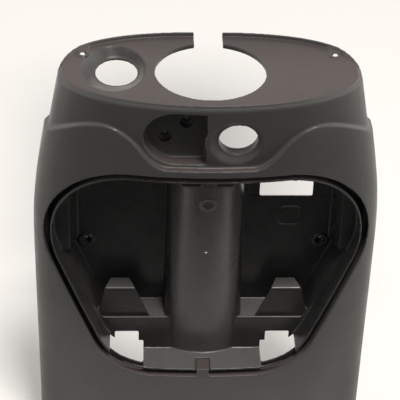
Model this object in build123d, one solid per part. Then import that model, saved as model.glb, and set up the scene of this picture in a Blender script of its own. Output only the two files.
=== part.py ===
from build123d import *
import math
import os

os.makedirs("parts", exist_ok=True)

# Frame: +X is to the rider's right, +Y is forward, +Z is up.
# The origin is the centre of the stem hole on the top face of the shelf.

# Walls and fits
wall = 3.0
tub_wall = 2.5
fit_gap = 0.2

# Length that reaches past every face of the part, for cutting bodies
reach = 600.0

# Shelf
shelf_half_width = 160.0
shelf_mid_y = -4.0
shelf_front = 71.0
shelf_rear = 82.0
rear_fullness = 2.5
shelf_edge_radius = 5.0
lip_height = 4.0
lip_width = 3.0
lip_start_y = 16.0
lip_full_y = 44.0
shelf_step = 1.5
shelf_step_in = 3.5
stem_radius = 59.0
stem_depth = 5.0
stem_slot = 31.0

# Dished hole in the shelf
dish_x = -99.5
dish_y = 21.5
dish_depth = 14.0
dish_tilt = 9.5
dish_floor_radius = 24.5
dish_hole_radius = 22.5
dish_mouth_x = -103.0
dish_mouth_y = 5.0
dish_mouth_half = 35.0
dish_mouth_deep = 48.0

# Fixing holes in the shelf, each in a raised pad
fixing_x = 135.0
fixing_y = 33.5
fixing_hole_radius = 3.3
fixing_pad_radius = 5.8
fixing_pad_height = 1.8

# Console
console_height = 110.0
console_lean = 0.18
console_spread = 0.19

# Shield below the console
shield_top = -12.0
shield_bottom = -510.0
shield_half_width = 193.0
shield_narrowing = 27.0
shield_full_at = -190.0
shield_front_y = -68.0
shield_front_z = -85.0
shield_lean = 0.07
side_edge_y = 14.0
ridge_start_z = -245.0
ridge_slope = 0.38
ridge_width = 34.0
flank_depth = 8.0

# Crease between console and shield, right half, as x and z
crease = [(44.0, -83.0), (51.0, -82.0), (60.0, -77.0), (77.0, -57.0), (92.0, -42.0), (108.0, -35.0),
          (126.0, -36.0), (148.0, -45.0), (166.0, -57.0), (186.0, -78.0), (215.0, -112.0)]

# Hook recess in the console
hook_right_x = -5.0
hook_left_x = -71.0
hook_top_z = -10.0
hook_bottom_z = -79.0
hook_floor_y = -44.0
hook_screws = [(-25.5, -36.5), (-48.5, -54.0)]
hook_bore_radius = 2.7
hook_seat_radius = 6.8
hook_seat_depth = 7.0
hook_boss_length = 9.0

# Lock hole in the console
lock_x = 28.0
lock_z = -49.0
lock_radius = 20.5
lock_length = 11.0
lock_dish_mouth = 29.0
lock_dish_floor = 22.5
lock_dish_depth = 5.0
key_notch = 2.0

# Glovebox opening, a trapezium with round corners
mouth_top_z = -92.0
mouth_bottom_z = -386.5
mouth_top_x = 230.0
mouth_bottom_x = 108.5
mouth_top_radius = 100.0
mouth_bottom_radius = 75.0
return_depth = 14.0
return_wall = 2.5
return_end_y = -12.0

# Glovebox tub
groove = 7.0
rim_break_x = 130.0
rim_break_z = -318.0
rim_break = 3.0
flange_overlap = 2.5
end_flange_x = 166.0
tub_back_y = 28.0
tub_draft = 12.0
ledge_x = 153.0
ledge_foot_z = -231.0
dam_y = -5.0
dam_top_z = -334.5
dam_lip = 4.0
dam_corner_x = 117.0
dam_end_x = 137.0
dam_end_z = -296.0

# Central tunnel of the tub, at its top and bottom end
tunnel_top_z = -96.0
tunnel_top_half = 42.0
tunnel_top_y = -44.0
tunnel_bottom_z = -378.0
tunnel_bottom_half = 45.5
tunnel_bottom_y = -14.0
tunnel_side_y = 10.0
tunnel_run = 30.0

# Latch recess at the tunnel's top
latch_top_half = 32.0
latch_foot_half = 28.0
latch_foot_z = -128.0
latch_arch_z = -120.0
latch_floor_y = -24.0
keeper_width = 17.0
keeper_foot_z = -119.0
keeper_front_y = -41.0

# Marks on the tunnel
ring_z = -145.0
ring_radius = 8.0
ring_width = 1.2
ring_front_y = -40.0
pip_z = -217.0
pip_radius = 1.6

# Humps in the pockets
hump_x = 97.0
hump_top_z = -291.0
hump_top_half = 18.0
hump_foot_in = 36.0
hump_foot_out = 28.0
hump_front_y = 0.0
hump_front_radius = 4.0
hump_rear_y = 20.0
hump_rear_top_half = 11.0
hump_rear_foot_in = 26.0
hump_rear_foot_out = 21.0

# Pocket fixing bosses
pocket_screw_x = 136.0
pocket_screw_z = -241.0
pocket_boss_radius = 8.5
pocket_boss_y = 26.0
pocket_hole_radius = 3.3
pocket_seat_radius = 5.5
pocket_seat_depth = 6.0

# Fuse window in the right pocket
fuse_x = 92.5
fuse_z = -169.0
fuse_width = 60.0
fuse_height = 22.0
fuse_tab_width = 4.0
fuse_tab_height = 2.0
fuse_tab_spacing = 19.0

# Wall step beside the fuse window and square mark
step_depth = 0.8
step_start_x = 50.0
step_end_x = 138.0
mark_x = 98.5
mark_z = -205.0
mark_size = 26.0
mark_corner = 6.0
mark_height = 0.6

# Hinge windows in the lower corners
hinge_x = 89.0
hinge_face_width = 28.0
hinge_face_top_z = -352.0
hinge_floor_width = 39.0
hinge_floor_top_z = -366.0
hinge_floor_front_y = -39.0

# Tongue of the panel in the floor of the tub
tongue_width = 14.0
tongue_gap = 2.0
tongue_rear_y = -26.0
tongue_front_y = -45.5
tongue_thick = 2.5
tongue_clear = 0.5

# Screws that hold the tub, as x and z of the right ones
screw_places = [(62.0, -84.0), (58.0, -395.0)]
screw_radius = 2.1
screw_head_radius = 4.0
screw_head_height = 2.6
screw_length = 13.0
screw_recess = 1.4
screw_cross = 1.0
boss_radius = 5.0
ear_radius = 7.5
screw_tie = 20.0


def along_y(profile, y0, y1, taper=0.0):
    """Extrude a flat X-Z profile from y0 to y1; taper draws it in as it goes."""
    face = Pos(0, y0, 0) * (Plane.XZ * profile)
    return extrude(face, amount=y1 - y0, dir=(0, 1, 0), taper=taper)


def disc(x, z, radius, y0, y1):
    """Round bar along Y at x, z."""
    return along_y(Pos(x, z) * Circle(radius), y0, y1)


def block(x0, x1, y0, y1, z0, z1):
    """Box between two corners."""
    size = Box(abs(x1 - x0), abs(y1 - y0), abs(z1 - z0))
    return Pos((x0 + x1) / 2, (y0 + y1) / 2, (z0 + z1) / 2) * size


# Shapes of the panel

def shield_half(z):
    """Half width of the shield at height z."""
    rise = max(0.0, (z - shield_full_at) / (shield_top - shield_full_at))
    return shield_half_width - shield_narrowing * rise ** 1.5


def shield_front(z):
    """Y of the shield's middle line at height z."""
    return shield_front_y + shield_lean * (shield_front_z - z)


def flank(x, z):
    """How far the flank below the ridge falls back at x, z."""
    ridge_x = shield_half_width - ridge_slope * (ridge_start_z - z)
    past = (abs(x) - ridge_x) / ridge_width
    if z > ridge_start_z or past <= 0:
        return 0.0
    return flank_depth * (1 - math.exp(-past * past))


def shield_y(x, z, inset):
    """Y of the shield's surface at x, z, drawn in by inset."""
    half = shield_half(z) - inset
    deep = shelf_mid_y - shield_front(z) - inset
    level = math.sqrt(1 - (x / half) ** 2)
    return shelf_mid_y - (deep - flank(x, z)) * level


def closed_section(front, half, back_y, z):
    """Level face behind a front edge, closed by two sides and a straight back."""
    rest = Polyline((half, shelf_mid_y), (half, back_y), (-half, back_y), (-half, shelf_mid_y))
    return Pos(0, 0, z) * make_face(front + rest)


def shield_section(z, inset, back_y):
    """Level section of the shield, drawn in by inset."""
    half = shield_half(z) - inset
    points = []
    for step in range(-6, 7):
        x = half * math.sin(math.radians(15 * step))
        y = shelf_mid_y if abs(step) == 6 else shield_y(x, z, inset)
        points.append((x, y))
    return closed_section(Spline(*points), half, back_y, z)


def shield_body(inset, bottom, back_y):
    """Solid body of the shield from its top to a bottom height."""
    levels = 11
    heights = [shield_top + (bottom - shield_top) * i / (levels - 1) for i in range(levels)]
    return loft([shield_section(z, inset, back_y) for z in heights])


def console_section(drop, inset, back_y):
    """Level section of the console at a drop below the shelf."""
    half = shelf_half_width + console_spread * drop - inset
    deep = shelf_front - console_lean * drop - inset
    front = EllipticalCenterArc((0, shelf_mid_y), half, deep, start_angle=180, arc_size=180)
    return closed_section(front, half, back_y, -drop)


def console_body(inset, top, back_y):
    """Solid body of the console from a drop of top down to its full height."""
    return loft([console_section(top, inset, back_y), console_section(console_height, inset, back_y)])


def crease_region(drop):
    """Everything below the crease line, lowered by drop."""
    right = [(x, z - drop) for x, z in crease]
    left = [(-x, z) for x, z in reversed(right)]
    line_right = Spline(*right)
    line_left = Spline(*left)
    middle = Line(left[-1], right[0])
    end_x, end_z = right[-1]
    under = Polyline((end_x, end_z), (end_x, -reach), (-end_x, -reach), (-end_x, end_z))
    return along_y(make_face(line_left + middle + line_right + under), -reach, reach)


def shelf_outline(grow):
    """Plan of the whole shelf, grown by grow."""
    half = shelf_half_width + grow
    power = 2 / rear_fullness
    rear = []
    for step in range(13):
        turn = math.radians(15 * step)
        x = half * math.copysign(abs(math.cos(turn)) ** power, math.cos(turn))
        y = shelf_mid_y + (shelf_rear + grow) * abs(math.sin(turn)) ** power
        rear.append((x, y))
    rear[0] = (half, shelf_mid_y)
    rear[-1] = (-half, shelf_mid_y)
    deep = shelf_front + grow
    front = EllipticalCenterArc((0, shelf_mid_y), half, deep, start_angle=180, arc_size=180)
    return make_face(front + Spline(*rear))


def mouth(grow):
    """Outline of the glovebox opening, grown by grow."""
    corners = [(mouth_top_x, mouth_top_z), (-mouth_top_x, mouth_top_z),
               (-mouth_bottom_x, mouth_bottom_z), (mouth_bottom_x, mouth_bottom_z)]
    face = make_face(Polyline(*corners, close=True))
    face = fillet(face.vertices().group_by(Axis.Y)[-1], mouth_top_radius)
    face = fillet(face.vertices().group_by(Axis.Y)[0], mouth_bottom_radius)
    if grow:
        face = offset(face, grow)
    return face


# Leg shield panel

# The bodies run back to far_back and their hollows further, so that the back stays open
far_back = 60.0
deep_back = 100.0
under_end = shield_bottom - 5
console_outer = console_body(0, shelf_step, far_back)
top_rim = [e for e in console_outer.edges()
           if e.center().Z > -shelf_step - 1 and e.center().Y < far_back - 1]
console_outer = fillet(top_rim, shelf_edge_radius)
shield_outer = shield_body(0, shield_bottom, far_back) & crease_region(0)
outer = console_outer + shield_outer

console_inner = console_body(wall, shelf_step + wall, deep_back)
shield_inner = shield_body(wall, under_end, deep_back)
panel = outer - (console_inner + (shield_inner & crease_region(wall)))
panel -= block(-reach, reach, side_edge_y, reach, -reach, reach)

# Shelf plate with its front step and rear lip
plate = extrude(shelf_outline(0), -wall) & block(-reach, reach, lip_start_y - lip_width, reach, -reach, reach)
panel += plate + extrude(shelf_outline(-shelf_step_in), -wall)
lip_band = extrude(shelf_outline(0) - shelf_outline(-lip_width), lip_height)
lip_side = Polyline((lip_start_y, 0), (lip_full_y, lip_height), (reach, lip_height), (reach, 0), close=True)
panel += lip_band & extrude(Plane.YZ * make_face(lip_side), reach, both=True)

# Dished hole, from a tilted round floor up to an oval mouth
dish_place = Pos(dish_x, dish_y, -dish_depth) * Rot(X=dish_tilt)
dish_mouth = Pos(dish_mouth_x, dish_mouth_y, 0)
dish_floor = dish_place * Circle(dish_floor_radius)
dish_under = dish_place * Pos(0, 0, -wall) * Circle(dish_floor_radius + wall)
dish_oval = dish_mouth * Ellipse(dish_mouth_half, dish_mouth_deep)
dish_rim = dish_mouth * Ellipse(dish_mouth_half + wall, dish_mouth_deep + wall)
panel += loft([dish_under, dish_rim])
panel -= loft([dish_floor, dish_oval])
panel -= dish_place * Cylinder(dish_hole_radius, 2 * dish_depth)

# Stem hole with a short collar below, and its slot to the rear
panel += Pos(0, 0, -stem_depth / 2) * Cylinder(stem_radius + wall, stem_depth)
panel -= Cylinder(stem_radius, 4 * stem_depth)
panel -= block(-stem_slot / 2, stem_slot / 2, stem_radius / 2, reach, -2 * stem_depth, 2 * stem_depth)

# Fixing holes at the ends of the shelf, in pads that run back to the lip
lip_inside = extrude(shelf_outline(-lip_width / 2), fixing_pad_height)
for side in (-1, 1):
    place = Pos(side * fixing_x, fixing_y, 0)
    pad = place * Pos(0, 0, fixing_pad_height / 2) * Cylinder(fixing_pad_radius, fixing_pad_height)
    pad += block(side * fixing_x - fixing_pad_radius, side * fixing_x + fixing_pad_radius,
                 fixing_y, reach, 0, fixing_pad_height)
    panel += pad & lip_inside
    panel -= place * Cylinder(fixing_hole_radius, 4 * wall)

# Hook recess, round at the left and straight at the right
hook_height = hook_top_z - hook_bottom_z
hook_mid_z = (hook_top_z + hook_bottom_z) / 2
hook_round_x = hook_left_x + hook_height / 2
hook_shape = Pos(hook_round_x, hook_mid_z) * Circle(hook_height / 2)
hook_bay = Rectangle(hook_right_x - hook_round_x, hook_height)
hook_shape += Pos((hook_round_x + hook_right_x) / 2, hook_mid_z) * hook_bay
hook_seat_y = hook_floor_y + hook_seat_depth
hook_cup = along_y(offset(hook_shape, wall), -reach, hook_floor_y + wall)
hook_end_y = hook_seat_y + hook_boss_length
for x, z in hook_screws:
    hook_cup += disc(x, z, hook_seat_radius + wall, hook_floor_y, hook_seat_y + wall)
    hook_cup += disc(x, z, hook_bore_radius + wall, hook_seat_y, hook_end_y)
panel += hook_cup & outer
panel -= along_y(hook_shape, -reach, hook_floor_y)
for x, z in hook_screws:
    panel -= disc(x, z, hook_seat_radius, hook_floor_y - 1, hook_seat_y)
    panel -= disc(x, z, hook_bore_radius, hook_floor_y - 1, hook_end_y + 1)

# Lock hole with its dish and collar
lock_tilt = math.degrees(math.atan(console_lean))
lock_half = shelf_half_width - console_spread * lock_z
lock_deep = shelf_front + console_lean * lock_z
lock_y = shelf_mid_y - lock_deep * math.sqrt(1 - (lock_x / lock_half) ** 2)
lock_place = Pos(lock_x, lock_y, lock_z) * Rot(X=90 + lock_tilt)
lock_slope = (lock_dish_mouth - lock_dish_floor) / lock_dish_depth
lock_rise = 3.0
lock_high = lock_dish_depth + lock_rise
lock_top = lock_dish_mouth + lock_slope * lock_rise
lock_mid = lock_place * Pos(0, 0, lock_rise - lock_high / 2)
lock_cup = lock_mid * Pos(0, 0, -wall) * Cone(lock_dish_floor + wall, lock_top + wall, lock_high)
lock_end = lock_dish_depth + lock_length
lock_cup += lock_place * Pos(0, 0, -lock_end / 2) * Cylinder(lock_radius + wall, lock_end)
panel += lock_cup & outer
panel -= lock_mid * Cone(lock_dish_floor, lock_top, lock_high)
panel -= lock_place * Cylinder(lock_radius, 4 * lock_end)
panel -= lock_place * Pos(lock_radius, 0, 0) * Box(2 * key_notch, key_notch, 4 * lock_end)

# Glovebox opening with its returned edge, and the bosses for the tub screws
panel -= along_y(mouth(0), -reach, far_back)
behind_return = shield_body(return_depth, under_end, deep_back)
return_ring = along_y(mouth(return_wall) - mouth(0), -reach, return_end_y)
panel += (return_ring & outer) - behind_return
flange_inset = return_depth + fit_gap
screws_at = []
for x, z in screw_places:
    tie = screw_tie if z < shield_full_at else -screw_tie
    low_z = min(z - ear_radius, z + tie)
    seat_y = shield_y(x + ear_radius, low_z, flange_inset) + tub_wall
    screws_at += [(x, seat_y, z, tie), (-x, seat_y, z, tie)]
for x, seat_y, z, tie in screws_at:
    panel += (disc(x, z, boss_radius, -reach, far_back) & outer) - behind_return
    panel -= disc(x, z, screw_radius + fit_gap / 2, seat_y - screw_length - 1, far_back)

# Tongue that reaches from the opening's lower edge into the tub's floor
tub_floor_z = mouth_bottom_z + groove + tub_wall
tongue_half = tongue_width / 2
tongue_turn_y = tongue_front_y + tongue_thick
panel += block(-tongue_half, tongue_half, tongue_front_y, tongue_rear_y,
               tub_floor_z - tongue_thick, tub_floor_z)
panel += block(-tongue_half, tongue_half, tongue_front_y, tongue_turn_y,
               mouth_bottom_z - 1, tub_floor_z)

export_step(panel, "parts/leg_shield_panel.step")


# Glovebox tub

def pocket(grow):
    """Outline of the pockets behind the ledges and dams, grown by grow."""
    rim = mouth(-groove - tub_wall)
    wide = mouth_top_x
    right = [(wide, dam_top_z), (wide, ledge_foot_z), (ledge_x, ledge_foot_z), (ledge_x, 0)]
    left = [(-x, z) for x, z in reversed(right)]
    face = rim & make_face(Polyline(*right, *left, close=True))
    if grow:
        face = offset(face, grow, kind=Kind.INTERSECTION)
    return face


def tunnel_section(half, front_y, inset, z):
    """Level section of the tunnel, drawn in by inset."""
    wide = half - inset
    deep = tunnel_side_y - front_y - inset
    back_y = tub_back_y + 20
    front = EllipticalCenterArc((0, tunnel_side_y), wide, deep, start_angle=180, arc_size=180)
    rest = Polyline((wide, tunnel_side_y), (wide, back_y), (-wide, back_y), (-wide, tunnel_side_y))
    return Pos(0, 0, z) * make_face(front + rest)


def tunnel_body(inset, above, below):
    """Solid body of the tunnel, run on above and below its two ends."""
    length = tunnel_top_z - tunnel_bottom_z
    sections = []
    for z in (tunnel_top_z + above, tunnel_bottom_z - below):
        part = (tunnel_top_z - z) / length
        half = tunnel_top_half + (tunnel_bottom_half - tunnel_top_half) * part
        front_y = tunnel_top_y + (tunnel_bottom_y - tunnel_top_y) * part
        sections.append(tunnel_section(half, front_y, inset, z))
    return loft(sections)


def hump_body(inset):
    """Solid hump of the right pocket, drawn in by inset."""
    top_z = hump_top_z - inset
    foot_z = dam_top_z - 1
    ends = []
    front = (hump_front_y + inset, hump_top_half, hump_foot_in, hump_foot_out)
    rear = (hump_rear_y - inset, hump_rear_top_half, hump_rear_foot_in, hump_rear_foot_out)
    for y, top, foot_in, foot_out in (front, rear):
        points = [(hump_x - foot_in + inset, foot_z), (hump_x - top + inset, top_z),
                  (hump_x + top - inset, top_z), (hump_x + foot_out - inset, foot_z)]
        ends.append(Pos(0, y, 0) * (Plane.XZ * make_face(Polyline(*points, close=True))))
    hump = loft(ends)
    front_edge = hump.edges().filter_by(Axis.X).group_by(Axis.Z)[-1].sort_by(Axis.Y)[0]
    return fillet(front_edge, hump_front_radius)


rim_outline = mouth(-groove)
rim_hole = mouth(-groove - tub_wall)
tub_outer = along_y(rim_outline, -reach, dam_y + tub_wall) & shield_inner
tub_outer += along_y(pocket(tub_wall), dam_y, tub_back_y + tub_wall, tub_draft)
tub_inner = along_y(rim_hole, -reach, dam_y)
tub_inner += along_y(pocket(0), dam_y, tub_back_y, tub_draft)
tub = tub_outer - tub_inner

# Flange behind the panel's returned edge, with screw ears
flange_front = shield_body(flange_inset, under_end, deep_back)
flange_rear = shield_body(flange_inset + tub_wall, under_end, deep_back)
flange_ring = along_y(mouth(flange_overlap) - rim_hole, -reach, return_end_y + tub_wall)
tub += (flange_ring & flange_front) - flange_rear
end_flange = flange_ring & block(-reach, reach, return_end_y + fit_gap, reach, -reach, 0)
tub += end_flange - block(-end_flange_x, end_flange_x, -reach, reach, -reach, 0)
for x, seat_y, z, tie in screws_at:
    ear = disc(x, z, ear_radius, -reach, seat_y)
    ear += block(x - ear_radius, x + ear_radius, -reach, seat_y, z, z + tie)
    tub += (ear & flange_front) - along_y(rim_hole, -reach, reach)
    tub -= disc(x, z, screw_radius + fit_gap, -reach, far_back)

# Lip along the dams, which runs out on the slanted sides
lip_z = dam_top_z + dam_lip
lip_right = [(dam_corner_x, lip_z), (dam_end_x, dam_end_z), (mouth_top_x + dam_end_x / 2, 0)]
lip_left = [(-x, z) for x, z in reversed(lip_right)]
lip_face = pocket(0) - make_face(Polyline(*lip_right, *lip_left, close=True))
tub += along_y(lip_face, dam_y, dam_y + tub_wall)

# Tunnel round the steering column
tunnel = tunnel_body(0, 0, 0)
tunnel_hollow = tunnel_body(tub_wall, tunnel_run, tunnel_run)
tub += tunnel & tub_outer
tub -= tunnel_hollow

# Latch recess and keeper at the top of the tunnel
latch_foot = (latch_foot_half, latch_foot_z)
latch_top = (latch_top_half, tunnel_top_z + 20)
latch_left_foot = (-latch_foot_half, latch_foot_z)
latch_left_top = (-latch_top_half, tunnel_top_z + 20)
arch = ThreePointArc(latch_left_foot, (0, latch_arch_z), latch_foot)
latch_shape = make_face(arch + Polyline(latch_foot, latch_top, latch_left_top, latch_left_foot))
latch_cup = along_y(offset(latch_shape, tub_wall), -reach, latch_floor_y + tub_wall)
tub += latch_cup & tunnel & tub_outer
tub -= along_y(latch_shape, -reach, latch_floor_y) & tub_inner
keeper_half = keeper_width / 2
keeper = block(-keeper_half, keeper_half, keeper_front_y, latch_floor_y, keeper_foot_z, tunnel_top_z)
tub += keeper & tub_outer

# Ring mark and pip on the tunnel
ring = disc(0, ring_z, ring_radius, ring_front_y, tunnel_side_y)
ring -= disc(0, ring_z, ring_radius - ring_width, -reach, tunnel_side_y)
tub += ring - tunnel_hollow
tub -= disc(0, pip_z, pip_radius, -reach, tunnel_side_y)

# Humps, pocket bosses and hinge windows on both sides
hump = hump_body(0)
hump_hole = hump_body(tub_wall)
pocket_seat_y = pocket_boss_y + pocket_seat_depth
boss = disc(pocket_screw_x, pocket_screw_z, pocket_boss_radius, pocket_boss_y, pocket_seat_y + wall)
boss_hole = disc(pocket_screw_x, pocket_screw_z, pocket_hole_radius, 0, far_back)
boss_hole += disc(pocket_screw_x, pocket_screw_z, pocket_seat_radius, 0, pocket_seat_y)
face_half = hinge_face_width / 2
floor_half = hinge_floor_width / 2
hinge_rear_y = dam_y + tub_wall + 1
hinge = block(hinge_x - face_half, hinge_x + face_half, dam_y - 1, hinge_rear_y,
              mouth_bottom_z, hinge_face_top_z)
hinge += block(hinge_x - floor_half, hinge_x + floor_half, hinge_floor_front_y, hinge_rear_y,
               mouth_bottom_z, hinge_floor_top_z)
hinge = hinge & along_y(rim_outline, -reach, far_back)
for plane in (None, Plane.YZ):
    items = [hump, hump_hole, boss, boss_hole, hinge]
    if plane:
        items = [mirror(item, plane) for item in items]
    tub += items[0] & tub_outer
    tub -= items[1]
    tub += items[2]
    tub -= items[3]
    tub -= items[4]

# Fuse window with two small tabs
fuse_top = fuse_z + fuse_height / 2
fuse_foot = fuse_z - fuse_height / 2
tub -= block(fuse_x - fuse_width / 2, fuse_x + fuse_width / 2, tub_back_y - tub_wall,
             tub_back_y + 2 * tub_wall, fuse_foot, fuse_top)
for side in (-1, 1):
    x = fuse_x + side * fuse_tab_spacing / 2
    tub += block(x - fuse_tab_width / 2, x + fuse_tab_width / 2, tub_back_y, tub_back_y + tub_wall,
                 fuse_top - fuse_tab_height, fuse_top + 1)

# Step in the wall beside the fuse window, and the square mark below it
tub -= block(step_start_x, step_end_x, tub_back_y - 1, tub_back_y + step_depth, fuse_foot, fuse_top)
mark_hole = mark_size - 2 * ring_width
square = RectangleRounded(mark_size, mark_size, mark_corner)
square -= RectangleRounded(mark_hole, mark_hole, mark_corner - ring_width)
tub += along_y(Pos(mark_x, mark_z) * square, tub_back_y - mark_height, tub_back_y + 1)

# Notch in the floor for the panel's tongue, with a tray below it
notch = tongue_half + tongue_gap
notch_rear_y = tongue_rear_y + tongue_gap
notch_floor_z = tub_floor_z - tongue_thick - tongue_clear
tub += block(-notch - tub_wall, notch + tub_wall, tongue_turn_y + tongue_clear, notch_rear_y + tub_wall,
             notch_floor_z - tub_wall, tub_floor_z - tongue_clear)
tub -= block(-notch, notch, -reach, notch_rear_y, notch_floor_z, tub_floor_z + tub_wall)

# Breaks in the rim
rim_front = shield_inner - flange_front
for side in (-1, 1):
    rim_cut = Pos(side * rim_break_x, 0, rim_break_z) * Box(rim_break, 2 * far_back, rim_break)
    tub -= rim_cut & rim_front

export_step(tub, "parts/glovebox_tub.step")


# Screws that hold the tub from behind

screws = []
for x, seat_y, z, tie in screws_at:
    screw = disc(x, z, screw_radius, seat_y - screw_length, seat_y + 1)
    screw += disc(x, z, screw_head_radius, seat_y, seat_y + screw_head_height)
    head_place = Pos(x, seat_y + screw_head_height, z)
    cross_length = 1.3 * screw_head_radius
    screw -= head_place * Box(cross_length, 2 * screw_recess, screw_cross)
    screw -= head_place * Box(screw_cross, 2 * screw_recess, cross_length)
    screws.append(screw)
export_step(Compound(children=screws), "parts/tub_screws.step")
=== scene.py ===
"""Looks of the scooter leg shield: softened mouldings, plastic finishes, studio and camera."""

import logging
import math
from dataclasses import dataclass, field
from enum import Enum

import bpy
import numpy as np
from mathutils import Matrix, Vector


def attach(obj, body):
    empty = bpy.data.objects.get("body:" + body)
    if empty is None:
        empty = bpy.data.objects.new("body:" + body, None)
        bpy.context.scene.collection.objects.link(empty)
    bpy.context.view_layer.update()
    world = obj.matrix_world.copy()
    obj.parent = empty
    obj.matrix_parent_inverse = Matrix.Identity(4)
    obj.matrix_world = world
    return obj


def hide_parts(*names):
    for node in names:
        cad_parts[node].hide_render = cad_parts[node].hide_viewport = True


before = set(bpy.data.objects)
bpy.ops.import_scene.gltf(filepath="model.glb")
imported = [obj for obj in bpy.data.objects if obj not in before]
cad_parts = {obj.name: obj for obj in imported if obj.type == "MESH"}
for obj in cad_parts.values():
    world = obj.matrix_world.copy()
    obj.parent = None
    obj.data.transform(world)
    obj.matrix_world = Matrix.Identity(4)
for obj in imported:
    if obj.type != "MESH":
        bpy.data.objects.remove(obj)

LOG = logging.getLogger("leg_shield")
MM = 0.001


class Body(Enum):
    """Bodies of the frame that pieces ride on."""

    ROOT = "root"


class Slot(Enum):
    """Material slots of the record."""

    PANEL = "panel_plastic"
    TUB = "tub_plastic"
    SCREW = "screw_steel"


def add_ramp(tree: bpy.types.NodeTree, value: bpy.types.NodeSocket, low: float, high: float,
             out_low: float, out_high: float) -> bpy.types.NodeSocket:
    """Map a range of values to another range, held at its ends.

    Args:
        tree: Node tree to add to.
        value: Value to map.
        low: Start of its range.
        high: End of its range.
        out_low: Result at the start.
        out_high: Result at the end.

    Returns:
        The mapped value.
    """
    made = tree.nodes.new("ShaderNodeMapRange")
    made.interpolation_type = "SMOOTHSTEP"
    limits = {"From Min": low, "From Max": high, "To Min": out_low, "To Max": out_high}
    for key, limit in limits.items():
        made.inputs[key].default_value = limit
    tree.links.new(value, made.inputs["Value"])
    return made.outputs["Result"]


class Graph:
    """Shader nodes of one material, added and linked by name."""

    def __init__(self, name: str) -> None:
        """Start an empty material with a surface shader.

        Args:
            name: Name of the material.
        """
        self.material = bpy.data.materials.new(name)
        self.material.use_nodes = True
        self.tree = self.material.node_tree
        self.shader = self.tree.nodes["Principled BSDF"]
        coordinates = self.tree.nodes.new("ShaderNodeTexCoord")
        self.place = coordinates.outputs["Object"]
        self.facing = coordinates.outputs["Normal"]

    def node(self, kind: str, **settings: object) -> bpy.types.Node:
        """Add a node.

        Args:
            kind: Node type, without its prefix.
            **settings: Attributes of the node.

        Returns:
            The new node.
        """
        made = self.tree.nodes.new("ShaderNode" + kind)
        for key, value in settings.items():
            setattr(made, key, value)
        return made

    def link(self, source: bpy.types.NodeSocket, target: bpy.types.NodeSocket) -> None:
        """Link two sockets.

        Args:
            source: Output socket.
            target: Input socket.
        """
        self.tree.links.new(source, target)

    def noise(self, size: float, detail: float = 3.0, rough: float = 0.55) -> bpy.types.NodeSocket:
        """Cloudy noise over the piece.

        Args:
            size: Size of its patches in metres.
            detail: Number of finer layers.
            rough: Strength of the finer layers.

        Returns:
            The noise value, about 0 to 1.
        """
        made = self.node("TexNoise")
        made.inputs["Scale"].default_value = 1.0 / size
        made.inputs["Detail"].default_value = detail
        made.inputs["Roughness"].default_value = rough
        self.link(self.place, made.inputs["Vector"])
        return made.outputs["Fac"]

    def upward(self, low: float, high: float, share: float) -> bpy.types.NodeSocket:
        """Share of the painted top light on a face, by how far it looks up.

        Args:
            low: Upward part of the normal where the share starts to rise.
            high: Upward part of the normal where it is full.
            share: Full share.

        Returns:
            The share.
        """
        split = self.node("SeparateXYZ")
        self.link(self.facing, split.inputs["Vector"])
        return self.ramp(split.outputs["Z"], low, high, 0.0, share)

    def middle(self, half: float, front: float, fade: float, share: float) -> bpy.types.NodeSocket:
        """Share of what lies near the middle plane and stands forward.

        Args:
            half: Half width in metres.
            front: Greatest y in metres.
            fade: Width over which it fades in metres.
            share: Full share.

        Returns:
            The share.
        """
        split = self.node("SeparateXYZ")
        self.link(self.place, split.inputs["Vector"])
        away = self.node("Math", operation="ABSOLUTE")
        self.link(split.outputs["X"], away.inputs[0])
        both = self.node("Math", operation="MULTIPLY")
        self.link(self.ramp(away.outputs["Value"], half - fade, half, 1.0, 0.0), both.inputs[0])
        self.link(self.ramp(split.outputs["Y"], front - fade, front, share, 0.0), both.inputs[1])
        return both.outputs["Value"]

    def cells(self, size: float, smooth: float = 0.6) -> bpy.types.NodeSocket:
        """Rounded cells, as in a leather-like mould grain.

        Args:
            size: Size of a cell in metres.
            smooth: How far the cells run into each other.

        Returns:
            Distance from each cell's middle.
        """
        made = self.node("TexVoronoi", feature="SMOOTH_F1")
        made.inputs["Scale"].default_value = 1.0 / size
        made.inputs["Smoothness"].default_value = smooth
        self.link(self.place, made.inputs["Vector"])
        return made.outputs["Distance"]

    def ramp(self, value: bpy.types.NodeSocket, low: float, high: float,
             out_low: float, out_high: float) -> bpy.types.NodeSocket:
        """Map a range of values to another range, held at its ends.

        Args:
            value: Value to map.
            low: Start of its range.
            high: End of its range.
            out_low: Result at the start.
            out_high: Result at the end.

        Returns:
            The mapped value.
        """
        return add_ramp(self.tree, value, low, high, out_low, out_high)

    def mix(self, factor: bpy.types.NodeSocket, first: object, second: object) -> bpy.types.NodeSocket:
        """Mix two colours.

        Args:
            factor: Share of the second colour.
            first: Colour or socket.
            second: Colour or socket.

        Returns:
            The mixed colour.
        """
        made = self.node("Mix", data_type="RGBA")
        self.link(factor, made.inputs["Factor"])
        for colour, socket in ((first, made.inputs[6]), (second, made.inputs[7])):
            if isinstance(colour, bpy.types.NodeSocket):
                self.link(colour, socket)
            else:
                socket.default_value = (*colour, 1.0)
        return made.outputs[2]

    def bump(self, height: bpy.types.NodeSocket, depth: float, under: bpy.types.NodeSocket | None = None
             ) -> bpy.types.NodeSocket:
        """Raise the surface by a height.

        Args:
            height: Height, about 0 to 1.
            depth: Depth in metres.
            under: Normal that this one is laid over.

        Returns:
            The new normal.
        """
        made = self.node("Bump")
        made.inputs["Strength"].default_value = 1.0
        made.inputs["Distance"].default_value = depth
        self.link(height, made.inputs["Height"])
        if under is not None:
            self.link(under, made.inputs["Normal"])
        return made.outputs["Normal"]


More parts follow.
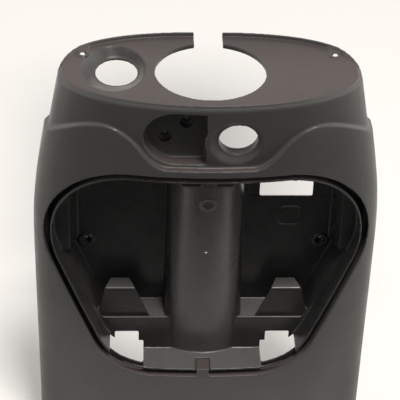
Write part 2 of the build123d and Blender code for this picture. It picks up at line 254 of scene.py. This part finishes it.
@dataclass(frozen=True)
class MouldedPlastic:
    """Injection-moulded plastic with a mould grain, thin dust, handling marks, and painted light on tops
    and a forward stretch.

    Attributes:
        name: Name of the material.
        colour: Main colour.
        pale: Colour of dusty places, and of the painted light on the tunnel's front.
        grain: Size of the grain in metres.
        grain_depth: Depth of the grain in metres.
        rough: Roughness of clean and of worn places.
        specular: Strength of reflections.
        dust: Greatest share of the pale colour.
        painted_top_light: Paler colour painted on faces that look up, as painted top light.
        painted_top_light_share: Share of that painted top light.
        painted_light_share: Share of the pale colour painted on the tunnel's front as painted light, paler
            than the deep pockets.
        painted_light_half: Half width of the painted light stretch in metres.
        painted_light_front: Greatest y of the painted light stretch in metres.
        painted_light_fade: Width over which the painted light stretch fades in metres.
        painted_top_light_range: Upward part of the normal where the painted top light starts and where it
            is full.
        patch_size: Size of dusty patches in metres.
        patch_range: Noise values where a patch starts and where it is full.
        speck_size: Size of specks in metres.
        speck_range: Noise values where a speck starts and where it is full.
        speck_share: Strength of a speck, as a share of the dust.
        wear_size: Size of worn places in metres.
        wear_range: Noise values of clean and of worn places.
        flow_size: Size of the waves in the moulded surface in metres.
        flow_depth: Depth of those waves in metres.
    """

    name: str
    colour: tuple[float, float, float]
    pale: tuple[float, float, float]
    grain: float
    grain_depth: float
    rough: tuple[float, float]
    specular: float
    dust: float
    painted_top_light: tuple[float, float, float]
    painted_top_light_share: float
    painted_light_share: float = 0.0
    painted_light_half: float = 0.05
    painted_light_front: float = -0.004
    painted_light_fade: float = 0.008
    painted_top_light_range: tuple[float, float] = (0.6, 0.97)
    patch_size: float = 0.09
    patch_range: tuple[float, float] = (0.42, 0.72)
    speck_size: float = 0.0035
    speck_range: tuple[float, float] = (0.76, 0.82)
    speck_share: float = 0.5
    wear_size: float = 0.03
    wear_range: tuple[float, float] = (0.35, 0.7)
    flow_size: float = 0.05
    flow_depth: float = 0.00008

    def build(self) -> bpy.types.Material:
        """Make the material.

        Returns:
            The new material.
        """
        graph = Graph(self.name)
        shader = graph.shader
        shader.inputs["Specular IOR Level"].default_value = self.specular
        patches = graph.noise(self.patch_size, detail=4.0, rough=0.6)
        specks = graph.noise(self.speck_size, detail=2.0, rough=0.5)
        dust = graph.ramp(patches, *self.patch_range, 0.0, self.dust)
        colour = graph.mix(dust, self.colour, self.pale)
        # Painted light: near the middle, where the tunnel stands forward, the colour turns paler than in
        # the deep pockets behind.
        if self.painted_light_share:
            painted_light = graph.middle(self.painted_light_half, self.painted_light_front, self.painted_light_fade, self.painted_light_share)
            colour = graph.mix(painted_light, colour, self.pale)
        speck = graph.ramp(specks, *self.speck_range, 0.0, self.speck_share * self.dust)
        specked = graph.mix(speck, colour, self.pale)
        # Painted top light: faces that look up are mixed towards a paler colour, as if lit from above.
        painted_top_light = graph.upward(*self.painted_top_light_range, self.painted_top_light_share)
        graph.link(graph.mix(painted_top_light, specked, self.painted_top_light), shader.inputs["Base Color"])
        wear = graph.noise(self.wear_size, detail=5.0, rough=0.65)
        graph.link(graph.ramp(wear, *self.wear_range, *self.rough), shader.inputs["Roughness"])
        flow = graph.bump(graph.noise(self.flow_size, detail=2.0), self.flow_depth)
        grain = graph.bump(graph.cells(self.grain), self.grain_depth, flow)
        graph.link(grain, shader.inputs["Normal"])
        return graph.material


@dataclass(frozen=True)
class PlatedSteel:
    """Zinc-plated steel of small screws.

    Attributes:
        name: Name of the material.
        colour: Colour of the plating.
        dull: Colour of its dull patches.
        rough: Roughness of bright and of dull patches.
        patch_size: Size of the patches in metres.
        patch_range: Noise values of bright and of dull patches.
        pit_size: Size of the pits in metres.
        pit_depth: Depth of the pits in metres.
    """

    name: str = "zinc_plated_steel"
    colour: tuple[float, float, float] = (0.55, 0.55, 0.57)
    dull: tuple[float, float, float] = (0.38, 0.38, 0.39)
    rough: tuple[float, float] = (0.28, 0.5)
    patch_size: float = 0.002
    patch_range: tuple[float, float] = (0.3, 0.7)
    pit_size: float = 0.0006
    pit_depth: float = 0.00002

    def build(self) -> bpy.types.Material:
        """Make the material.

        Returns:
            The new material.
        """
        graph = Graph(self.name)
        shader = graph.shader
        shader.inputs["Metallic"].default_value = 1.0
        patches = graph.noise(self.patch_size, detail=3.0)
        graph.link(graph.mix(patches, self.colour, self.dull), shader.inputs["Base Color"])
        graph.link(graph.ramp(patches, *self.patch_range, *self.rough), shader.inputs["Roughness"])
        pits = graph.bump(graph.noise(self.pit_size, detail=2.0), self.pit_depth)
        graph.link(pits, shader.inputs["Normal"])
        return graph.material


# Painted top light on both plastics: faces that look up turn paler, the panel's with a pinkish tint.
PANEL_PLASTIC = MouldedPlastic(
    name="panel_grained_plastic", colour=(0.066, 0.065, 0.062), pale=(0.105, 0.101, 0.095),
    grain=0.0011, grain_depth=0.00004, rough=(0.32, 0.44), specular=0.3, dust=0.22,
    painted_top_light=(0.080, 0.065, 0.062), painted_top_light_share=0.8)
# The tub's paler front near the middle is painted light on the tunnel; the pockets keep the dark colour.
TUB_PLASTIC = MouldedPlastic(
    name="tub_smooth_plastic", colour=(0.022, 0.0215, 0.0215), pale=(0.075, 0.073, 0.069),
    grain=0.0007, grain_depth=0.000015, rough=(0.26, 0.36), specular=0.42, dust=0.2,
    painted_top_light=(0.110, 0.105, 0.101), painted_top_light_share=0.85, painted_light_share=0.75)


def activate(obj: bpy.types.Object) -> None:
    """Make one object the only selected and active one.

    Args:
        obj: The object.
    """
    bpy.ops.object.select_all(action="DESELECT")
    obj.select_set(True)
    bpy.context.view_layer.objects.active = obj


def points_of(obj: bpy.types.Object) -> np.ndarray:
    """Vertex places of a mesh.

    Args:
        obj: The mesh object.

    Returns:
        One row of three numbers for each vertex.
    """
    flat = np.zeros(len(obj.data.vertices) * 3, np.float32)
    obj.data.vertices.foreach_get("co", flat)
    return flat.reshape(-1, 3)


@dataclass
class Slab:
    """A box that trims or fills a moulding, in millimetres.

    Attributes:
        low: Lowest corner, from its place.
        high: Highest corner, from its place.
        place: Point that it is turned about.
        slope: Fall towards the rear, in degrees.
    """

    low: tuple[float, float, float]
    high: tuple[float, float, float]
    place: tuple[float, float, float] = (0.0, 0.0, 0.0)
    slope: float = 0.0

    def build(self) -> bpy.types.Object:
        """Make the box.

        Returns:
            The new object.
        """
        low, high = Vector(self.low) * MM, Vector(self.high) * MM
        bpy.ops.object.select_all(action="DESELECT")
        bpy.ops.mesh.primitive_cube_add(size=1.0, location=(low + high) / 2)
        made = bpy.context.object
        made.scale = high - low
        bpy.ops.object.transform_apply(location=True, rotation=True, scale=True)
        made.location = Vector(self.place) * MM
        made.rotation_euler = (math.radians(-self.slope), 0.0, 0.0)
        bpy.ops.object.transform_apply(location=True, rotation=True, scale=True)
        return made


@dataclass
class Sleeve:
    """An open sleeve along Y that lengthens a bore, in millimetres.

    Attributes:
        x: Place of its axis across.
        z: Height of its axis.
        radius: Radius of the bore.
        start: Y of its front end.
        end: Y of its rear end.
        wall: Thickness of its wall.
        sides: Number of flats round it.
    """

    x: float
    z: float
    radius: float
    start: float
    end: float
    wall: float = 2.5
    sides: int = 32

    def build(self) -> bpy.types.Object:
        """Make the sleeve.

        Returns:
            The new object.
        """
        bpy.ops.object.select_all(action="DESELECT")
        bpy.ops.mesh.primitive_cylinder_add(
            vertices=self.sides, radius=self.radius * MM, depth=(self.end - self.start) * MM,
            end_fill_type="NOTHING",
            location=(self.x * MM, (self.start + self.end) / 2 * MM, self.z * MM),
            rotation=(math.pi / 2, 0.0, 0.0))
        made = bpy.context.object
        bpy.ops.object.transform_apply(location=True, rotation=True, scale=True)
        thick = made.modifiers.new("wall", "SOLIDIFY")
        thick.thickness = self.wall * MM
        thick.offset = 1.0
        bpy.ops.object.modifier_apply(modifier=thick.name)
        return made


@dataclass
class SoftZone:
    """A line along which a moulding is rounded more than elsewhere.

    Attributes:
        line: Points of the line as x and z in metres.
        width: Half width of the zone in metres.
        back: Greatest y of the zone in metres.
        passes: Rounds of smoothing.
        fall: How steeply the weight falls towards the zone's sides.
        fade: Depth over which the weight fades towards the rear, in metres.
    """

    line: list[tuple[float, float]]
    width: float
    back: float
    passes: int
    fall: float = 2.0
    fade: float = 0.01

    def weights(self, points: np.ndarray) -> np.ndarray:
        """Weight of each point, 1 near the line and 0 outside the zone.

        Args:
            points: Places of the mesh's vertices.

        Returns:
            One weight for each point.
        """
        flat = points[:, (0, 2)].astype(float)
        nearest = np.full(len(flat), np.inf)
        for start, end in zip(self.line, self.line[1:]):
            a, b = np.array(start), np.array(end)
            along = np.clip((flat - a) @ (b - a) / ((b - a) @ (b - a)), 0.0, 1.0)
            gap = np.linalg.norm(flat - a - along[:, None] * (b - a), axis=1)
            nearest = np.minimum(nearest, gap)
        near = np.clip(self.fall * (1.0 - nearest / self.width), 0.0, 1.0)
        front = np.clip((self.back - points[:, 1]) / self.fade, 0.0, 1.0)
        return near * front


@dataclass
class Moulding:
    """A moulded shell taken from a solid, with its edges softened as a mould leaves them.

    Attributes:
        node: CAD node that it stands for.
        piece: Name of the piece.
        slot: Material slot of the record; not used.
        finish: Finish of its surface.
        cell: Size of the even mesh in metres.
        merge: Distance within which the copy's points are merged, in metres.
        passes: Rounds of smoothing over all edges.
        strength: Strength of each round of smoothing.
        triangles: Number of triangles kept.
        zones: Lines that are rounded more.
        trims: Shapes cut out of the shell.
        fills: Shapes moulded on to the shell.
    """

    node: str
    piece: str
    slot: Slot
    finish: MouldedPlastic
    cell: float = 0.001
    merge: float = 0.000002
    passes: int = 4
    strength: float = 0.5
    triangles: int = 185000
    zones: list[SoftZone] = field(default_factory=list)
    trims: list[Slab] = field(default_factory=list)
    fills: list[Slab | Sleeve] = field(default_factory=list)

    def build(self) -> bpy.types.Object:
        """Make the piece, dress it and let it stand for its node.

        Returns:
            The new piece.
        """
        shell = self.merged_copy()
        self.trim(shell)
        self.fill(shell)
        self.even_mesh(shell)
        self.soften(shell, self.passes)
        for number, zone in enumerate(self.zones):
            self.soften_zone(shell, zone, f"zone_{number}")
        self.thin_out(shell)
        activate(shell)
        bpy.ops.object.shade_smooth()
        shell.data.materials.clear()
        shell.data.materials.append(self.finish.build())
        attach(shell, Body.ROOT.value)
        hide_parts(self.node)
        return shell

    def merged_copy(self) -> bpy.types.Object:
        """Copy the node's mesh and close its seams.

        Returns:
            The copy as a new object.
        """
        shell = bpy.data.objects.new(self.piece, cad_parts[self.node].data.copy())
        bpy.context.scene.collection.objects.link(shell)
        activate(shell)
        bpy.ops.object.mode_set(mode="EDIT")
        bpy.ops.mesh.select_all(action="SELECT")
        bpy.ops.mesh.remove_doubles(threshold=self.merge)
        bpy.ops.object.mode_set(mode="OBJECT")
        return shell

    def trim(self, shell: bpy.types.Object) -> None:
        """Cut the trims out of the shell.

        Args:
            shell: Shell to work on.
        """
        for shape in self.trims:
            cutter = shape.build()
            activate(shell)
            cut = shell.modifiers.new("trim", "BOOLEAN")
            cut.operation = "DIFFERENCE"
            cut.solver = "EXACT"
            cut.object = cutter
            bpy.ops.object.modifier_apply(modifier=cut.name)
            bpy.data.objects.remove(cutter, do_unlink=True)

    def fill(self, shell: bpy.types.Object) -> None:
        """Join the fills to the shell, which the even mesh then fuses.

        Args:
            shell: Shell to work on.
        """
        added = [shape.build() for shape in self.fills]
        if added:
            activate(shell)
            for shape in added:
                shape.select_set(True)
            bpy.ops.object.join()

    def even_mesh(self, shell: bpy.types.Object) -> None:
        """Give the shell an even mesh, so that its edges can be rounded alike.

        Args:
            shell: Shell to work on.
        """
        activate(shell)
        remesh = shell.modifiers.new("even_mesh", "REMESH")
        remesh.mode = "VOXEL"
        remesh.voxel_size = self.cell
        remesh.adaptivity = 0.0
        bpy.ops.object.modifier_apply(modifier=remesh.name)

    def soften(self, shell: bpy.types.Object, passes: int, group: str = "") -> None:
        """Round the shell's edges.

        Args:
            shell: Shell to round.
            passes: Rounds of smoothing.
            group: Vertex group to keep to, or nothing for the whole shell.
        """
        activate(shell)
        smooth = shell.modifiers.new("soften", "SMOOTH")
        smooth.factor = self.strength
        smooth.iterations = passes
        smooth.vertex_group = group
        bpy.ops.object.modifier_apply(modifier=smooth.name)

    def soften_zone(self, shell: bpy.types.Object, zone: SoftZone, name: str) -> None:
        """Round the shell along one line.

        Args:
            shell: Shell to round.
            zone: Line and its width.
            name: Name of the vertex group for it.
        """
        steps = 10
        levels = np.round(zone.weights(points_of(shell)) * steps).astype(int)
        group = shell.vertex_groups.new(name=name)
        for level in range(1, steps + 1):
            chosen = np.nonzero(levels == level)[0].tolist()
            if chosen:
                group.add(chosen, level / steps, "REPLACE")
        self.soften(shell, zone.passes, name)
        shell.vertex_groups.clear()

    def thin_out(self, shell: bpy.types.Object) -> None:
        """Take out the triangles that flat places don't need.

        Args:
            shell: Shell to work on.
        """
        activate(shell)
        count = sum(len(face.vertices) - 2 for face in shell.data.polygons)
        thin = shell.modifiers.new("thin_out", "DECIMATE")
        thin.ratio = min(1.0, self.triangles / count)
        thin.use_collapse_triangulate = True
        bpy.ops.object.modifier_apply(modifier=thin.name)


@dataclass
class TubScrews:
    """The four screws behind the shield.

    Attributes:
        node: CAD node of the screws.
        finish: Finish of the screws.
    """

    node: str = "tub_screws"
    finish: PlatedSteel = PlatedSteel()

    def build(self) -> bpy.types.Object:
        """Dress the screws.

        Returns:
            The CAD node.
        """
        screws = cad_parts[self.node]
        screws.data.materials.clear()
        screws.data.materials.append(self.finish.build())
        return screws


@dataclass
class HookRecess:
    """Recess for the bag hook, with a clear upper rear edge and two long bores, in millimetres.

    Attributes:
        edge: Point on the upper rear edge of the recess.
        slope: Fall of the chamfer on that edge, in degrees.
        chamfer_half: Half length of the chamfer.
        chamfer_front: Front end of the chamfer, from that point.
        chamfer_rear: Rear end of the chamfer, from that point.
        chamfer_height: Height that the chamfer clears.
        wall_ends: Left and right end of the wall under the chamfer, from that point.
        wall_run: Front and rear end of that wall, from that point.
        wall_depth: Lower and upper face of that wall, from the chamfer.
        bores: Places of the bores, as x and z.
        bore_radius: Radius of a bore.
        bore_run: Front and rear end of the sleeves, as y.
    """

    edge: tuple[float, float, float] = (-15.5, -45.0, -9.4)
    slope: float = 31.0
    chamfer_half: float = 14.5
    chamfer_front: float = -4.5
    chamfer_rear: float = 8.0
    chamfer_height: float = 4.0
    wall_ends: tuple[float, float] = (-20.0, 10.5)
    wall_run: tuple[float, float] = (-7.0, 4.8)
    wall_depth: tuple[float, float] = (-3.8, -0.2)
    bores: tuple[tuple[float, float], ...] = ((-25.5, -36.5), (-48.5, -54.0))
    bore_radius: float = 2.7
    bore_run: tuple[float, float] = (-30.0, -22.0)

    def trims(self) -> list[Slab]:
        """Chamfer on the upper rear edge, clear of the stem hole.

        Returns:
            The shapes to cut out.
        """
        low = (-self.chamfer_half, self.chamfer_front, 0.0)
        high = (self.chamfer_half, self.chamfer_rear, self.chamfer_height)
        return [Slab(low=low, high=high, place=self.edge, slope=self.slope)]

    def fills(self) -> list[Slab | Sleeve]:
        """Wall under the chamfer, and sleeves that lengthen the bores.

        Returns:
            The shapes to mould on.
        """
        low, high = zip(self.wall_ends, self.wall_run, self.wall_depth)
        wall = Slab(low=low, high=high, place=self.edge, slope=self.slope)
        start, end = self.bore_run
        sleeves = [Sleeve(x=x, z=z, radius=self.bore_radius, start=start, end=end) for x, z in self.bores]
        return [wall, *sleeves]


@dataclass
class ShelfPads:
    """Two fixing pads of the shelf, each with a recess under it that shortens its hole, in millimetres.

    Attributes:
        x: Distance of a recess from the middle plane.
        y: Place of a recess.
        half: Half width of a recess.
        run: Front and rear end of a recess, from its place.
        depth: Lower and upper face of a recess.
    """

    x: float = 136.3
    y: float = 33.5
    half: float = 2.8
    run: tuple[float, float] = (-1.0, 9.0)
    depth: tuple[float, float] = (-8.0, 0.3)

    def trims(self) -> list[Slab]:
        """Recess under each pad.

        Returns:
            The shapes to cut out.
        """
        low, high = zip((-self.half, self.half), self.run, self.depth)
        return [Slab(low=low, high=high, place=(x, self.y, 0.0)) for x in (-self.x, self.x)]


@dataclass
class TubTop:
    """Sloped top of the tub behind its rim, in millimetres.

    Attributes:
        edge: Point on the sloped top.
        slope: Its slope in degrees.
        half: Half width of what is cut off above it.
        front: Front end of the slope, from the point.
        cut_rear: Rear end of what is cut off, from the point.
        cut_height: Height of what is cut off.
        plate_ends: Left end of each plate, one at either side of the middle.
        plate_width: Width of a plate.
        plate_rear: Rear end of a plate, from the point.
        plate_wall: Thickness of a plate.
    """

    edge: tuple[float, float, float] = (0.0, 3.0, -104.3)
    slope: float = 30.0
    half: float = 160.0
    front: float = -12.0
    cut_rear: float = 70.0
    cut_height: float = 60.0
    plate_ends: tuple[float, float] = (-122.0, 40.0)
    plate_width: float = 82.0
    plate_rear: float = 32.0
    plate_wall: float = 2.5

    def trims(self) -> list[Slab]:
        """Everything above the sloped top.

        Returns:
            The shapes to cut out.
        """
        high = (self.half, self.cut_rear, self.cut_height)
        return [Slab(low=(-self.half, self.front, 0.0), high=high, place=self.edge, slope=self.slope)]

    def fills(self) -> list[Slab]:
        """Plates that close the top again.

        Returns:
            The shapes to mould on.
        """
        plates = []
        for near in self.plate_ends:
            low = (near, self.front, -self.plate_wall)
            high = (near + self.plate_width, self.plate_rear, 0.0)
            plates.append(Slab(low=low, high=high, place=self.edge, slope=self.slope))
        return plates


@dataclass
class HingeWindows:
    """Outer part of the two hinge windows, through the rim's lower corners, in millimetres.

    Attributes:
        inner: Inner end of the outer part.
        outer: Outer end of the outer part.
        run: Front and rear end, as y.
        top: Height of its upper end.
        corner: Middle of the rim's lower corner, as x and z.
        radius: Outer radius of that corner.
        steps: Number of steps along the corner.
    """

    inner: float = 94.0
    outer: float = 108.5
    run: tuple[float, float] = (-40.0, -5.2)
    top: float = -350.0
    corner: tuple[float, float] = (58.3, -311.5)
    radius: float = 68.5
    steps: int = 6

    def trims(self) -> list[Slab]:
        """Steps along the corner, at both sides.

        Returns:
            The shapes to cut out.
        """
        front, rear = self.run
        width = (self.outer - self.inner) / self.steps
        trims = []
        for step in range(self.steps):
            near = self.inner + step * width
            drop = math.sqrt(self.radius ** 2 - (near + width / 2 - self.corner[0]) ** 2)
            low = self.corner[1] - drop
            trims.append(Slab(low=(near, front, low), high=(near + width, rear, self.top)))
            trims.append(Slab(low=(-near - width, front, low), high=(-near, rear, self.top)))
        return trims


@dataclass
class PocketHoles:
    """The two fixing holes in the pockets, with sleeves that lengthen them, in millimetres.

    Attributes:
        x: Distance of a hole from the middle plane.
        z: Height of the holes.
        radius: Radius of a hole.
        run: Front and rear end of the sleeves, as y.
    """

    x: float = 136.0
    z: float = -241.0
    radius: float = 3.3
    run: tuple[float, float] = (32.0, 44.0)

    def fills(self) -> list[Sleeve]:
        """Sleeve behind each hole.

        Returns:
            The shapes to mould on.
        """
        start, end = self.run
        return [Sleeve(x=x, z=self.z, radius=self.radius, start=start, end=end) for x in (-self.x, self.x)]


@dataclass
class LegShield:
    """The panel, the glovebox tub and their screws.

    Attributes:
        crease: Right half of the crease below the console, as x and z in millimetres.
        crease_width: Half width of the rounded crease in metres.
        crease_passes: Rounds of smoothing along the crease.
    """

    crease: tuple[tuple[float, float], ...] = (
        (44.0, -83.0), (60.0, -77.0), (77.0, -57.0), (92.0, -42.0), (108.0, -35.0),
        (126.0, -36.0), (148.0, -45.0), (166.0, -57.0), (186.0, -78.0))
    crease_width: float = 0.012
    crease_passes: int = 16

    def crease_line(self) -> list[tuple[float, float]]:
        """The whole crease in metres, from left to right.

        Returns:
            Points of the crease as x and z.
        """
        right = [(x * MM, z * MM) for x, z in self.crease]
        return [(-x, z) for x, z in reversed(right)] + right

    def build(self) -> list[bpy.types.Object]:
        """Make the three pieces.

        Returns:
            The pieces in order.
        """
        crease = SoftZone(line=self.crease_line(), width=self.crease_width, back=0.0,
                          passes=self.crease_passes)
        hook, top = HookRecess(), TubTop()
        panel = Moulding(node="leg_shield_panel", piece="panel_moulding", slot=Slot.PANEL,
                         finish=PANEL_PLASTIC, zones=[crease], fills=hook.fills(),
                         trims=[*hook.trims(), *ShelfPads().trims()])
        tub = Moulding(node="glovebox_tub", piece="tub_moulding", slot=Slot.TUB, finish=TUB_PLASTIC,
                       trims=[*top.trims(), *HingeWindows().trims()],
                       fills=[*top.fills(), *PocketHoles().fills()])
        return [panel.build(), tub.build(), TubScrews().build()]


@dataclass
class Studio:
    """Pale floor, a room that is bright behind and at its sides, and one soft light.

    Attributes:
        floor_z: Height of the floor in metres.
        floor_size: Side of the floor in metres.
        floor_colour: Colour of the floor.
        floor_shade: Brightness of the floor's darker patches, as a share.
        floor_patch: Size of those patches in metres.
        front_colour: Colour that the floor in front of the shield throws back on it.
        front_fade: Where the floor's front part ends, as two values of y in metres.
        matte: Roughness of the floor and the card.
        room_front: Brightness of the room in front of the shield.
        room_back: Brightness of the room behind it.
        room_top: Brightness above it.
        room_right: Brightness added at its right.
        room_left: Brightness added at its left.
        room_colour: Tint of the room's light.
        rear_rise: Part of a direction along Y where the rear starts and where it is full.
        side_rise: Part of a direction along X where a side starts and where it is full.
        top_rise: Part of a direction along Z where the top starts and where it is full.
        key_place: Place of the main light in metres.
        key_aim: Point that the main light faces, in metres.
        key_colour: Tint of the main light.
        key_size: Side of the main light in metres.
        key_power: Power of the main light in watts.
        shade_place: Middle of the card that shades the floor behind, in metres.
        shade_size: Width and depth of that card in metres.
        shade_colours: The two colours of that card.
        shade_patch: Size of its patches in metres.
    """

    floor_z: float = -0.5105
    floor_size: float = 14.0
    floor_colour: tuple[float, float, float] = (0.83, 0.82, 0.80)
    floor_shade: float = 0.97
    floor_patch: float = 0.6
    front_colour: tuple[float, float, float] = (0.05, 0.05, 0.049)
    front_fade: tuple[float, float] = (-0.3, -0.15)
    matte: float = 0.9
    room_front: float = 0.11
    room_back: float = 0.7
    room_top: float = 0.35
    room_right: float = 1.9
    room_left: float = 1.4
    room_colour: tuple[float, float, float] = (1.0, 0.97, 0.95)
    rear_rise: tuple[float, float] = (-0.4, 0.4)
    side_rise: tuple[float, float] = (0.5, 0.95)
    top_rise: tuple[float, float] = (0.5, 0.9)
    key_place: tuple[float, float, float] = (0.8, -2.1, 5.3)
    key_aim: tuple[float, float, float] = (0.0, 0.0, -0.2)
    key_colour: tuple[float, float, float] = (1.0, 0.97, 0.93)
    key_size: float = 1.2
    key_power: float = 290.0
    shade_place: tuple[float, float, float] = (0.12, 0.1, 0.5)
    shade_size: tuple[float, float] = (0.3, 0.46)
    shade_colours: tuple[tuple[float, float, float], ...] = ((0.02, 0.02, 0.02), (0.03, 0.03, 0.03))
    shade_patch: float = 0.3

    def build(self) -> None:
        """Make the floor, the room's light, the card and the lamp."""
        self.floor()
        self.room()
        self.card()
        self.lamp()

    def floor(self) -> None:
        """Lay a large pale floor, whose part in front throws less light back on the shield."""
        bpy.ops.object.select_all(action="DESELECT")
        bpy.ops.mesh.primitive_plane_add(size=self.floor_size, location=(0.0, 0.0, self.floor_z))
        floor = bpy.context.object
        floor.name = "floor"
        graph = Graph("floor_paint")
        shade = tuple(self.floor_shade * part for part in self.floor_colour)
        pale = graph.mix(graph.noise(self.floor_patch), self.floor_colour, shade)
        split = graph.node("SeparateXYZ")
        graph.link(graph.place, split.inputs["Vector"])
        behind = graph.ramp(split.outputs["Y"], *self.front_fade, 0.0, 1.0)
        reflected = graph.mix(behind, self.front_colour, pale)
        seen = graph.node("LightPath").outputs["Is Camera Ray"]
        graph.link(graph.mix(seen, reflected, pale), graph.shader.inputs["Base Color"])
        graph.shader.inputs["Roughness"].default_value = self.matte
        floor.data.materials.append(graph.material)

    def card(self) -> None:
        """Hang a level card that no camera sees and that shades the floor behind the shield."""
        bpy.ops.object.select_all(action="DESELECT")
        bpy.ops.mesh.primitive_plane_add(size=1.0, location=self.shade_place)
        card = bpy.context.object
        card.name = "shade_card"
        card.scale = (*self.shade_size, 1.0)
        bpy.ops.object.transform_apply(location=True, rotation=True, scale=True)
        card.visible_camera = False
        card.visible_diffuse = False
        card.visible_glossy = False
        graph = Graph("shade_card_paint")
        paint = graph.mix(graph.noise(self.shade_patch), *self.shade_colours)
        graph.link(paint, graph.shader.inputs["Base Color"])
        graph.shader.inputs["Roughness"].default_value = self.matte
        card.data.materials.append(graph.material)

    def room(self) -> None:
        """Light the scene from all round, by direction."""
        world = bpy.data.worlds.new("room")
        world.use_nodes = True
        tree = world.node_tree
        sky = tree.nodes["Background"]
        sky.inputs["Color"].default_value = (*self.room_colour, 1.0)
        split = tree.nodes.new("ShaderNodeSeparateXYZ")
        tree.links.new(tree.nodes.new("ShaderNodeTexCoord").outputs["Generated"], split.inputs["Vector"])
        across, along, height = (split.outputs[axis] for axis in "XYZ")
        start, full = self.side_rise
        level = add_ramp(tree, along, *self.rear_rise, self.room_front, self.room_back)
        right = add_ramp(tree, across, start, full, 0.0, self.room_right)
        left = add_ramp(tree, across, -full, -start, self.room_left, 0.0)
        above = add_ramp(tree, height, *self.top_rise, 0.0, 1.0)
        for side in (right, left):
            total = tree.nodes.new("ShaderNodeMath")
            total.operation = "ADD"
            tree.links.new(level, total.inputs[0])
            tree.links.new(side, total.inputs[1])
            level = total.outputs["Value"]
        blend = tree.nodes.new("ShaderNodeMix")
        tree.links.new(above, blend.inputs["Factor"])
        tree.links.new(level, blend.inputs[2])
        blend.inputs[3].default_value = self.room_top
        tree.links.new(blend.outputs[0], sky.inputs["Strength"])
        bpy.context.scene.world = world

    def lamp(self) -> None:
        """Hang a soft square light that faces the shield."""
        lamp = bpy.data.lights.new("key_light", "AREA")
        lamp.size = self.key_size
        lamp.energy = self.key_power
        lamp.color = self.key_colour
        made = bpy.data.objects.new("key_light", lamp)
        aim = Vector(self.key_aim) - Vector(self.key_place)
        made.location = self.key_place
        made.rotation_euler = aim.to_track_quat("-Z", "Y").to_euler()
        bpy.context.scene.collection.objects.link(made)


@dataclass
class PhotoCamera:
    """Camera at the photograph's angle.

    Attributes:
        elevation: Angle above the shelf's plane in degrees.
        azimuth: Angle to the right of the middle plane in degrees.
        roll: Turn of the picture in degrees.
        distance: Depth of the frame's origin in metres.
        focal: Focal length in pixels.
        picture: Side of the picture in pixels.
        sensor: Width of the camera's sensor in millimetres.
        origin: Where the frame's origin is seen, in pixels from the top left.
    """

    elevation: float = 35.0
    azimuth: float = -3.0
    roll: float = 1.8
    distance: float = 1.6
    focal: float = 1518.3
    picture: float = 400.0
    sensor: float = 36.0
    origin: tuple[float, float] = (210.7, 71.0)

    def build(self) -> bpy.types.Object:
        """Make the camera and aim it.

        Returns:
            The camera.
        """
        rise, turn, roll = (math.radians(a) for a in (self.elevation, self.azimuth, self.roll))
        ahead = Vector((-math.sin(turn) * math.cos(rise), math.cos(turn) * math.cos(rise), -math.sin(rise)))
        level = Vector((math.cos(turn), math.sin(turn), 0.0))
        upright = level.cross(ahead)
        right = math.cos(roll) * level + math.sin(roll) * upright
        up = math.cos(roll) * upright - math.sin(roll) * level
        across = (self.origin[0] - self.picture / 2) / self.focal
        down = (self.origin[1] - self.picture / 2) / self.focal
        place = -self.distance * (ahead + across * right - down * up)
        lens = bpy.data.cameras.new("photo_camera")
        lens.sensor_width = self.sensor
        lens.lens = self.sensor * self.focal / self.picture
        camera = bpy.data.objects.new("photo_camera", lens)
        bpy.context.scene.collection.objects.link(camera)
        turned = Matrix((right, up, -ahead)).transposed().to_4x4()
        camera.matrix_world = Matrix.Translation(place) @ turned
        bpy.context.scene.camera = camera
        return camera


def main() -> None:
    """Build the pieces, the studio and the camera in order."""
    logging.basicConfig(level=logging.INFO, format="%(message)s")
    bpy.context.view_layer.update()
    for piece in LegShield().build():
        LOG.info("%s: %d faces", piece.name, len(piece.data.polygons))
    Studio().build()
    PhotoCamera().build()
    bpy.context.scene.view_settings.view_transform = "Standard"


if __name__ == "__main__":
    main()
